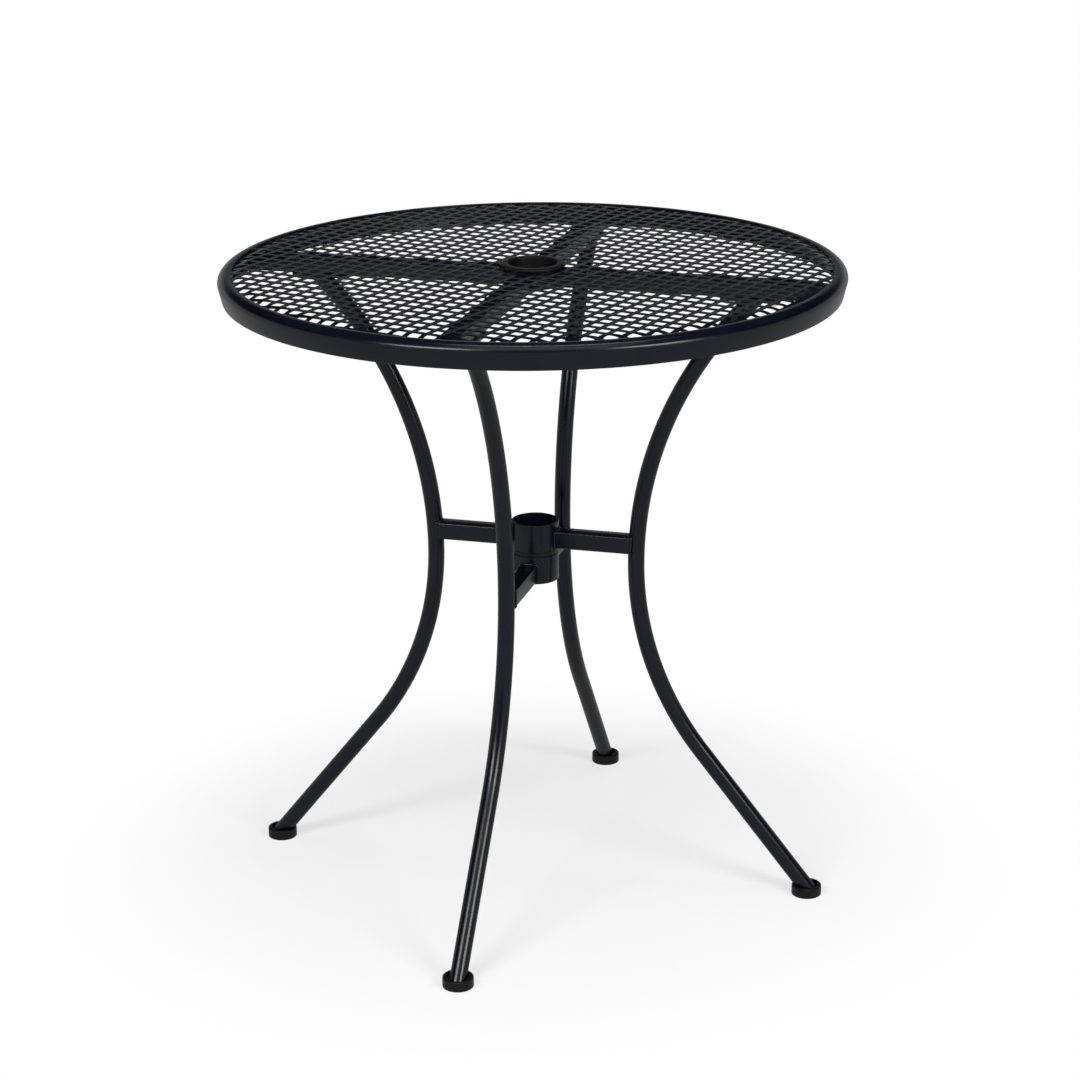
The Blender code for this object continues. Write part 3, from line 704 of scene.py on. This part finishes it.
def leg_tube():
    """Return a bmesh of a leg tube, bent both ways from its waist and cut level at its ends."""
    bm = bmesh.new()
    waist = Matrix.Translation((WAIST_RADIUS, 0.0, WAIST_HEIGHT))
    bmesh.ops.create_circle(bm, cap_ends=False, segments=TUBE_SEGMENTS, radius=TUBE_RADIUS, matrix=waist)
    ring = bm.verts[:] + bm.edges[:]
    top_angle = math.asin(UPPER_RISE / UPPER_BEND_RADIUS) + LEG_TOP_SPARE / UPPER_BEND_RADIUS
    bmesh.ops.spin(bm, geom=ring, cent=(WAIST_RADIUS + UPPER_BEND_RADIUS, 0.0, WAIST_HEIGHT),
                   axis=(0.0, 1.0, 0.0), angle=top_angle, steps=BEND_STEPS)
    bent = bmesh.ops.spin(bm, geom=ring, cent=(WAIST_RADIUS + LOWER_BEND_RADIUS, 0.0, WAIST_HEIGHT),
                          axis=(0.0, 1.0, 0.0), angle=-LEG_LEAN, steps=BEND_STEPS)["geom_last"]
    straight = WAIST_HEIGHT - LOWER_BEND_RADIUS * math.sin(LEG_LEAN) + LEG_FOOT_SPARE
    grown = bmesh.ops.extrude_edge_only(bm, edges=edges_in(bent))["geom"]
    down_the_leg = (straight * math.tan(LEG_LEAN), 0.0, -straight)
    bmesh.ops.translate(bm, verts=verts_in(grown), vec=down_the_leg)
    for height, outward in ((LEG_TOP, 1.0), (LEG_BOTTOM, -1.0)):
        cut = bmesh.ops.bisect_plane(bm, geom=everything(bm), plane_co=(0.0, 0.0, height),
                                     plane_no=(0.0, 0.0, outward), clear_outer=True)["geom_cut"]
        bmesh.ops.contextual_create(bm, geom=edges_in(cut))
    bmesh.ops.recalc_face_normals(bm, faces=bm.faces)
    return bm


class TABLE_OT_legs(bpy.types.Operator):
    """Bend the four leg tubes"""
    bl_idname = "table.legs"
    bl_label = "Leg tubes"

    def execute(self, context):
        for side, angle in SIDES.items():
            coated(swung(leg_tube(), angle), "leg_tube_" + side, "leg_" + side)
        return {"FINISHED"}


class TABLE_OT_hub(bpy.types.Operator):
    """Stack the two collars that carry the stretchers, with the spacer between them"""
    bl_idname = "table.hub"
    bl_label = "Hub collars"

    def execute(self, context):
        for name, node, low, high in (
            ("upper_collar", "hub_collar_upper", UPPER_COLLAR_LOW, UPPER_COLLAR_HIGH),
            ("lower_collar", "hub_collar_lower", LOWER_COLLAR_LOW, LOWER_COLLAR_HIGH),
        ):
            collar = barrel(high.x - COLLAR_WALL, high.x, low.z, high.z, COLLAR_ROUND)
            coated(collar, name, node)
        inner = UPPER_COLLAR_HIGH.x - COLLAR_WALL
        spacer = barrel(inner, SPACER_HIGH.x, SPACER_LOW.z, SPACER_HIGH.z, SPACER_ROUND)
        moulded(spacer, "collar_spacer", "hub_spacer")
        return {"FINISHED"}


class TABLE_OT_stretchers(bpy.types.Operator):
    """Run a square stretcher from each leg to its collar"""
    bl_idname = "table.stretchers"
    bl_label = "Stretchers"

    def execute(self, context):
        collar_radius = UPPER_COLLAR_HIGH.x
        start = math.sqrt(collar_radius ** 2 - HALF_BAR ** 2)
        for side, angle in SIDES.items():
            height = stretcher_height(side)
            end = leg_radius(height) - SADDLE_SETBACK
            stretcher = bar((start, -HALF_BAR, height - HALF_BAR),
                            (end, HALF_BAR, height + HALF_BAR))
            coated(swung(stretcher, angle), "stretcher_tube_" + side, "stretcher_" + side)
        return {"FINISHED"}


class TABLE_OT_glides(bpy.types.Operator):
    """Mould a dished glide for each foot"""
    bl_idname = "table.glides"
    bl_label = "Foot glides"

    def execute(self, context):
        centre = ((GLIDE_LOW.x + GLIDE_HIGH.x) / 2, 0.0)
        dish = GLIDE_RADIUS - GLIDE_LIP
        floor = GLIDE_HIGH.z - GLIDE_DISH_DEPTH
        corners = [
            (0.0, GLIDE_LOW.z, 0.0),
            (GLIDE_RADIUS, GLIDE_LOW.z, GLIDE_SOLE_ROUND),
            (GLIDE_RADIUS, GLIDE_HIGH.z, GLIDE_LIP_ROUND),
            (dish, GLIDE_HIGH.z, GLIDE_DISH_EDGE),
            (dish, floor, GLIDE_DISH_ROUND),
            (0.0, floor, 0.0),
        ]
        for side, angle in SIDES.items():
            glide = turned(rounded(corners), GLIDE_STEPS, centre)
            moulded(swung(glide, angle), "moulded_glide_" + side, "foot_glide_" + side)
        return {"FINISHED"}


def flange_bolt(centre):
    """Return a bmesh of a bolt with a hexagonal head under a round flange."""
    flange_low = BOLT_LOW.z + HEX_HEAD_HEIGHT
    flange_high = flange_low + BOLT_FLANGE_HEIGHT
    radius = (BOLT_HIGH.y - BOLT_LOW.y) / 2
    corners = [
        (0.0, flange_low, 0.0), (radius, flange_low, BOLT_ROUND), (radius, flange_high, BOLT_ROUND / 2),
        (BOLT_SHANK_RADIUS, flange_high, 0.0), (BOLT_SHANK_RADIUS, BOLT_HIGH.z, BOLT_ROUND),
        (0.0, BOLT_HIGH.z, 0.0),
    ]
    bm = turned(rounded(corners), TUBE_SEGMENTS, centre)
    place = Matrix.Translation((*centre, BOLT_LOW.z + HEX_HEAD_HEIGHT / 2))
    corner_radius = HEX_ACROSS_FLATS / math.sqrt(3)
    head = bmesh.ops.create_cone(bm, cap_ends=True, segments=HEX_SIDES, radius1=corner_radius,
                                 radius2=corner_radius, depth=HEX_HEAD_HEIGHT, matrix=place)["verts"]
    lower = [vert for vert in head if vert.co.z < BOLT_LOW.z + HEX_HEAD_HEIGHT / 2]
    rim = {edge for vert in lower for edge in vert.link_edges if set(edge.verts) <= set(lower)}
    bmesh.ops.bevel(bm, geom=list(rim), offset=HEX_EDGE, segments=HEX_EDGE_STEPS, affect="EDGES",
                    profile=CIRCULAR_PROFILE, material=-1)
    return bm


class TABLE_OT_fixings(bpy.types.Operator):
    """Make the flange bolts, and finish the plates and nuts under the top"""
    bl_idname = "table.fixings"
    bl_label = "Plates, bolts and nuts"

    def execute(self, context):
        for side, angle in SIDES.items():
            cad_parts["mount_plate_" + side].material_slots[0].material = powder_coat()
            for end in ("inner", "outer"):
                low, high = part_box("leg_bolt_right_" + end)
                bolt = flange_bolt(((low.x + high.x) / 2, 0.0))
                name = side + "_" + end
                place_piece(swung(bolt, angle), "flange_bolt_" + name, zinc_plate(),
                            ["leg_bolt_" + name])
                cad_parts["weld_nut_" + name].material_slots[0].material = zinc_plate()
        return {"FINISHED"}


# Welds


def square_point(share, half):
    """Return a point at a share of the way round a square with rounded corners."""
    side, along = divmod(share * 4, 1)
    point = Matrix.Rotation(side * math.pi / 2, 2) @ Vector((half, half * (2 * along - 1)))
    softness = sum(abs(value / half) ** CORNER_POWER for value in point) ** (1 / CORNER_POWER)
    return point / softness


def bead_path(place_point):
    """Return the points of a closed bead, from a rule that gives the point at a share of the way round."""
    return [place_point(step / BEAD_STEPS) for step in range(BEAD_STEPS)]


def round_cord(name, radius):
    """Return an empty curve that is drawn as a round cord with closed ends."""
    curve = bpy.data.curves.new(name, "CURVE")
    curve.dimensions = "3D"
    curve.fill_mode = "FULL"
    curve.bevel_depth = radius
    curve.bevel_resolution = BEAD_RESOLUTION
    curve.use_fill_caps = True
    return curve


def place_cord(curve):
    """Make a coated piece of a curve."""
    curve.materials.append(powder_coat())
    cord = bpy.data.objects.new(curve.name, curve)
    bpy.context.scene.collection.objects.link(cord)
    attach(cord, BODY)


def place_beads(name, paths, radius):
    """Lay rippled weld beads along closed paths, each repeated on the sides given with it."""
    curve = round_cord(name, radius)
    for path, sides in paths:
        for side in sides:
            turn = Matrix.Rotation(SIDES[side], 3, "Z")
            spline = curve.splines.new("POLY")
            spline.points.add(len(path) - 1)
            spline.use_cyclic_u = True
            for index, (point, target) in enumerate(zip(path, spline.points)):
                target.co = (*(turn @ Vector(point)), 1.0)
                wave = abs(math.sin(math.pi * BEAD_RIPPLES * index / len(path)))
                target.radius = 1.0 - BEAD_RIPPLE_DEPTH + 2 * BEAD_RIPPLE_DEPTH * wave
    place_cord(curve)


class TABLE_OT_welds(bpy.types.Operator):
    """Lay the weld beads of the leg frames, arms and rim, the collars' seams and the tack welds"""
    bl_idname = "table.welds"
    bl_label = "Weld beads"

    def execute(self, context):
        bead = context.scene.table_sizes.bead_radius
        heights = [(stretcher_height(sides[0]), sides) for sides in (UPPER_SIDES, LOWER_SIDES)]
        collars = [(bead_path(self.round_barrel(UPPER_COLLAR_HIGH.x, height, HALF_BAR)), sides)
                   for height, sides in heights]
        place_beads("collar_welds", collars, bead)
        saddles = [(bead_path(self.round_leg(height, HALF_BAR)), sides) for height, sides in heights]
        place_beads("saddle_welds", saddles, bead)
        middle = (ARM_TOP + ARM_BOTTOM) / 2
        arms = bead_path(self.round_barrel(TUBE_HIGH.x, middle, HALF_BAR - bead / 2))
        place_beads("arm_welds", [(arms, SIDES)], bead * THIN_BEAD)
        place_beads("plate_welds", [(bead_path(self.leg_head), SIDES)], bead)
        place_beads("rim_welds", [(bead_path(self.arm_end), SIDES)], bead * THIN_BEAD)
        self.collar_seams()
        self.tack_welds()
        return {"FINISHED"}

    def collar_seams(self):
        """Lay the upright seam of the rolled tube on each collar."""
        curve = round_cord("collar_seams", SEAM_RADIUS)
        reach = LOWER_COLLAR_HIGH.x - SEAM_RADIUS / 2
        for low, high in ((UPPER_COLLAR_LOW, UPPER_COLLAR_HIGH), (LOWER_COLLAR_LOW, LOWER_COLLAR_HIGH)):
            spline = curve.splines.new("POLY")
            spline.points.add(SEAM_STEPS)
            for index, target in enumerate(spline.points):
                share = index / SEAM_STEPS
                height = low.z + COLLAR_ROUND + share * (high.z - low.z - 2 * COLLAR_ROUND)
                target.co = (reach * math.cos(SEAM_ANGLE), reach * math.sin(SEAM_ANGLE), height, 1.0)
        place_cord(curve)

    def tack_welds(self):
        """Set the drop of weld under each stretcher, next to its leg."""
        for side, angle in SIDES.items():
            height = stretcher_height(side) - HALF_BAR
            reach = leg_radius(height) - TUBE_RADIUS - TACK_RADIUS
            flattened = Matrix.Diagonal((1.0, 1.0, TACK_FLATTENING, 1.0))
            place = Matrix.Translation((reach, 0.0, height)) @ flattened
            drop = bmesh.new()
            bmesh.ops.create_icosphere(drop, subdivisions=TACK_SUBDIVISIONS, radius=TACK_RADIUS, matrix=place)
            coated(swung(drop, angle), "tack_weld_" + side)

    def round_barrel(self, radius, height, half):
        """Return the rule for a bead where a square tube meets an upright barrel."""
        def place_point(share):
            across, up = square_point(share, half)
            return (math.sqrt((radius + BEAD_SINK) ** 2 - across ** 2), across, height + up)
        return place_point

    def round_leg(self, height, half):
        """Return the rule for a bead where a square tube meets a leg."""
        def place_point(share):
            across, up = square_point(share, half)
            reach = math.sqrt(max(TUBE_RADIUS ** 2 - across ** 2, SADDLE_SETBACK ** 2))
            across = max(min(across, TUBE_RADIUS), -TUBE_RADIUS)
            return (leg_radius(height + up) - reach, across, height + up)
        return place_point

    def arm_end(self, share):
        """Return a point of the bead round the end of an arm, inside the rim."""
        across, up = square_point(share, (BAR_SIZE - SHEET_DIP) / 2)
        height = (ARM_TOP - SHEET_DIP + ARM_BOTTOM) / 2 + up
        across *= BAR_SIZE / (BAR_SIZE - SHEET_DIP)
        reach = apron_inside(ARM_BOTTOM) - BEAD_SINK
        return (math.sqrt(reach ** 2 - across ** 2), across, height)

    def leg_head(self, share):
        """Return a point of the bead where a leg meets its plate."""
        angle = math.tau * share
        slope = math.asin(UPPER_RISE / UPPER_BEND_RADIUS)
        along = leg_radius(LEG_TOP) + math.cos(angle) * TUBE_RADIUS / math.cos(slope)
        return (along, math.sin(angle) * TUBE_RADIUS, LEG_TOP - BEAD_SINK)


# Stage


def floor_material():
    """Return a pale floor that shows some shadow near the table and fades to plain white away from it."""
    finish = bpy.context.scene.table_finish
    material = bpy.data.materials.new("studio_floor")
    material.use_nodes = True
    nodes = material.node_tree.nodes
    links = material.node_tree.links
    nodes.clear()
    output = nodes.new("ShaderNodeOutputMaterial")
    mixed = nodes.new("ShaderNodeMixShader")
    matt = nodes.new("ShaderNodeBsdfDiffuse")
    matt.inputs["Color"].default_value = (*finish.floor_colour, 1.0)
    white = nodes.new("ShaderNodeEmission")
    white.inputs["Strength"].default_value = 1.0
    coordinates = nodes.new("ShaderNodeTexCoord")
    distance = nodes.new("ShaderNodeVectorMath")
    distance.operation = "LENGTH"
    fade = nodes.new("ShaderNodeMapRange")
    fade.interpolation_type = "SMOOTHSTEP"
    set_inputs(fade, {"From Min": FADE_START, "From Max": FADE_END, "To Min": NEAR_WHITE})
    seen = seen_directly(material.node_tree)
    factor = math_node(material.node_tree, "MULTIPLY", {})
    links.new(coordinates.outputs["Object"], distance.inputs[0])
    links.new(distance.outputs["Value"], fade.inputs["Value"])
    links.new(fade.outputs["Result"], factor.inputs[0])
    links.new(seen, factor.inputs[1])
    links.new(factor.outputs["Value"], mixed.inputs["Fac"])
    links.new(matt.outputs["BSDF"], mixed.inputs[1])
    links.new(white.outputs["Emission"], mixed.inputs[2])
    links.new(mixed.outputs["Shader"], output.inputs["Surface"])
    return material


def seen_directly(tree):
    """Return a socket that is one for camera, glossy and transmission rays, and zero for the others."""
    paths = tree.nodes.new("ShaderNodeLightPath")
    first = math_node(tree, "MAXIMUM", {})
    second = math_node(tree, "MAXIMUM", {})
    tree.links.new(paths.outputs["Is Camera Ray"], first.inputs[0])
    tree.links.new(paths.outputs["Is Glossy Ray"], first.inputs[1])
    tree.links.new(first.outputs["Value"], second.inputs[0])
    tree.links.new(paths.outputs["Is Transmission Ray"], second.inputs[1])
    return second.outputs["Value"]


def studio_world():
    """Light the world with an even soft grey above the cove."""
    world = bpy.data.worlds.new("studio_world")
    world.use_nodes = True
    background = world.node_tree.nodes["Background"]
    set_inputs(background, {"Color": (1.0, 1.0, 1.0, 1.0), "Strength": WORLD_LEVEL})
    bpy.context.scene.world = world


def curtain_material():
    """Return the dark matt cloth that hangs above the cove's far side."""
    finish = bpy.context.scene.table_finish
    material = bpy.data.materials.new("studio_curtain")
    material.use_nodes = True
    shader = material.node_tree.nodes["Principled BSDF"]
    cloth = {"Base Color": (*finish.curtain_colour, 1.0), "Roughness": 1.0, "Specular IOR Level": 0.0}
    set_inputs(shader, cloth)
    return material


def stage_surface(name, outline, material, turn=math.tau):
    """Turn an open outline of (radius, height) points about the table, centred on the camera's far side."""
    bm = bmesh.new()
    verts = [bm.verts.new((radius, 0.0, height)) for radius, height in outline]
    edges = [bm.edges.new(pair) for pair in zip(verts, verts[1:])]
    swung(bm, math.pi / 2 - CAMERA_HEADING - turn / 2)
    bmesh.ops.spin(bm, geom=verts + edges, cent=(0.0, 0.0, 0.0), axis=(0.0, 0.0, 1.0),
                   angle=turn, steps=ROUND_STEPS, use_merge=turn >= math.tau)
    bmesh.ops.remove_doubles(bm, verts=bm.verts, dist=MERGE_DISTANCE)
    mesh = bpy.data.meshes.new(name)
    bm.to_mesh(mesh)
    bm.free()
    mesh.shade_smooth()
    mesh.materials.append(material)
    surface = bpy.data.objects.new(name, mesh)
    bpy.context.scene.collection.objects.link(surface)


def studio_room():
    """Set the floor, which curves up into a low cove all round, and the curtain above its far side."""
    centre = (FLOOR_RADIUS - COVE_ROUND, COVE_ROUND)
    bend = arc_points(centre, (COVE_ROUND, COVE_ROUND), -math.pi / 2, 0.0, COVE_STEPS)
    top = (FLOOR_RADIUS, COVE_HEIGHT)
    stage_surface("studio_floor", [(0.0, 0.0), *bend, top], floor_material())
    curtain_top = (FLOOR_RADIUS, CURTAIN_HEIGHT)
    stage_surface("studio_curtain", [top, curtain_top], curtain_material(), CURTAIN_TURN)


def soft_light(name, settings):
    """Hang a rectangular soft light that points at the table."""
    lamp = bpy.data.lights.new(name, "AREA")
    lamp.shape = "RECTANGLE"
    lamp.size, lamp.size_y = settings["size"]
    lamp.energy = settings["power"]
    right = Vector((1.0, 0.0, 0.0))
    facing = (Vector(settings["place"]) - Vector(LAMP_AIM)).normalized()
    ahead = facing.cross(right).normalized()
    turn = Matrix.Rotation(-CAMERA_HEADING, 4, "Z")
    pose = Matrix((ahead.cross(facing), ahead, facing)).transposed().to_4x4()
    light = bpy.data.objects.new(name, lamp)
    light.matrix_world = turn @ Matrix.Translation(settings["place"]) @ pose
    bpy.context.scene.collection.objects.link(light)


def studio_camera():
    """Set the camera where the photograph was taken from."""
    lens = bpy.data.cameras.new("studio_camera")
    lens.sensor_width = SENSOR_WIDTH
    lens.lens = FOCAL_PIXELS * SENSOR_WIDTH / PHOTO_SIZE
    camera = bpy.data.objects.new("studio_camera", lens)
    ahead = Vector((math.sin(CAMERA_HEADING) * math.cos(CAMERA_PITCH),
                    math.cos(CAMERA_HEADING) * math.cos(CAMERA_PITCH), -math.sin(CAMERA_PITCH)))
    level = Vector((math.cos(CAMERA_HEADING), -math.sin(CAMERA_HEADING), 0.0))
    above = level.cross(ahead)
    across = level * math.cos(CAMERA_ROLL) + above * math.sin(CAMERA_ROLL)
    up = above * math.cos(CAMERA_ROLL) - level * math.sin(CAMERA_ROLL)
    turn = Matrix((across, up, -ahead)).transposed().to_4x4()
    camera.matrix_world = Matrix.Translation(CAMERA_PLACE) @ turn
    bpy.context.scene.collection.objects.link(camera)
    bpy.context.scene.camera = camera


class TABLE_OT_stage(bpy.types.Operator):
    """Set the studio room, the world, the soft lights and the camera"""
    bl_idname = "table.stage"
    bl_label = "Stage"

    def execute(self, context):
        studio_room()
        studio_world()
        for name, lamp in LAMPS.items():
            soft_light(name, lamp)
        studio_camera()
        context.scene.view_settings.view_transform = "Standard"
        return {"FINISHED"}


# Settings and panel


class TableSizes(bpy.types.PropertyGroup):
    """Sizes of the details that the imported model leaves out"""
    hole_pitch: FloatProperty(
        name="Hole pitch", description="Distance between the middles of neighbouring holes",
        default=0.0178, min=0.004, unit="LENGTH", precision=4,
    )
    hole_side: FloatProperty(
        name="Hole side", description="Length of a side of a square hole",
        default=0.0128, min=0.002, unit="LENGTH", precision=4,
    )
    hole_corner: FloatProperty(
        name="Hole corner", description="Radius of the corners of a hole",
        default=0.0010, min=0.0001, unit="LENGTH", precision=4,
    )
    row_angle: FloatProperty(
        name="Row angle", description="Turn of the rows of holes from the right arm",
        default=math.radians(-15.3), unit="ROTATION",
    )
    bead_radius: FloatProperty(
        name="Bead radius", description="Radius of the weld beads",
        default=0.0015, min=0.0005, unit="LENGTH", precision=4,
    )


class TableFinish(bpy.types.PropertyGroup):
    """Colours and gloss of the finishes"""
    coat_colour: FloatVectorProperty(
        name="Powder coat", description="Colour of the sprayed steel",
        default=(0.0014, 0.0022, 0.0056), size=3, min=0.0, max=1.0, subtype="COLOR",
    )
    coat_roughness: FloatProperty(
        name="Coat roughness", description="Roughness of the skin of the powder coat",
        default=0.23, min=0.1, max=0.9,
    )
    coat_gloss: FloatProperty(
        name="Coat gloss", description="How strongly the powder coat mirrors its surroundings",
        default=0.36, min=0.0, max=1.0,
    )
    plastic_roughness: FloatProperty(
        name="Plastic roughness", description="Roughness of the skin of the moulded plastic",
        default=0.30, min=0.1, max=0.9,
    )
    plastic_gloss: FloatProperty(
        name="Plastic gloss", description="How strongly the moulded plastic mirrors its surroundings",
        default=0.30, min=0.0, max=1.0,
    )
    plastic_colour: FloatVectorProperty(
        name="Plastic", description="Colour of the moulded plastic parts",
        default=(0.0030, 0.0030, 0.0034), size=3, min=0.0, max=1.0, subtype="COLOR",
    )
    zinc_colour: FloatVectorProperty(
        name="Zinc plate", description="Colour of the plated bolts and nuts",
        default=(0.58, 0.59, 0.61), size=3, min=0.0, max=1.0, subtype="COLOR",
    )
    floor_colour: FloatVectorProperty(
        name="Floor", description="Colour of the studio floor",
        default=(0.75, 0.75, 0.75), size=3, min=0.0, max=1.0, subtype="COLOR",
    )
    curtain_colour: FloatVectorProperty(
        name="Curtain", description="Colour of the cloth above the studio's cove",
        default=(0.04, 0.04, 0.04), size=3, min=0.0, max=1.0, subtype="COLOR",
    )


TABLE_OPERATORS = (
    TABLE_OT_perforated_top,
    TABLE_OT_rim,
    TABLE_OT_parasol_ring,
    TABLE_OT_top_frame,
    TABLE_OT_legs,
    TABLE_OT_hub,
    TABLE_OT_stretchers,
    TABLE_OT_glides,
    TABLE_OT_fixings,
    TABLE_OT_welds,
    TABLE_OT_stage,
)


class TABLE_PT_pieces(bpy.types.Panel):
    """Lists the settings and the pieces of the table"""
    bl_idname = "TABLE_PT_pieces"
    bl_label = "Balcony table"
    bl_space_type = "VIEW_3D"
    bl_region_type = "UI"
    bl_category = "Table"

    def draw(self, context):
        for settings in (context.scene.table_sizes, context.scene.table_finish):
            box = self.layout.box()
            for name in settings.__annotations__:
                box.prop(settings, name)
        column = self.layout.column(align=True)
        for operator in TABLE_OPERATORS:
            column.operator(operator.bl_idname)


CLASSES = (TableSizes, TableFinish, *TABLE_OPERATORS, TABLE_PT_pieces)


def register():
    """Register the settings, operators and panel."""
    for cls in CLASSES:
        bpy.utils.register_class(cls)
    bpy.types.Scene.table_sizes = PointerProperty(type=TableSizes)
    bpy.types.Scene.table_finish = PointerProperty(type=TableFinish)


def unregister():
    """Remove the settings, operators and panel."""
    del bpy.types.Scene.table_finish
    del bpy.types.Scene.table_sizes
    for cls in reversed(CLASSES):
        bpy.utils.unregister_class(cls)


def main():
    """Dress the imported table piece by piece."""
    register()
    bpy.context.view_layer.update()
    for operator in TABLE_OPERATORS:
        category, name = operator.bl_idname.split(".")
        getattr(getattr(bpy.ops, category), name)()


if __name__ == "__main__":
    main()
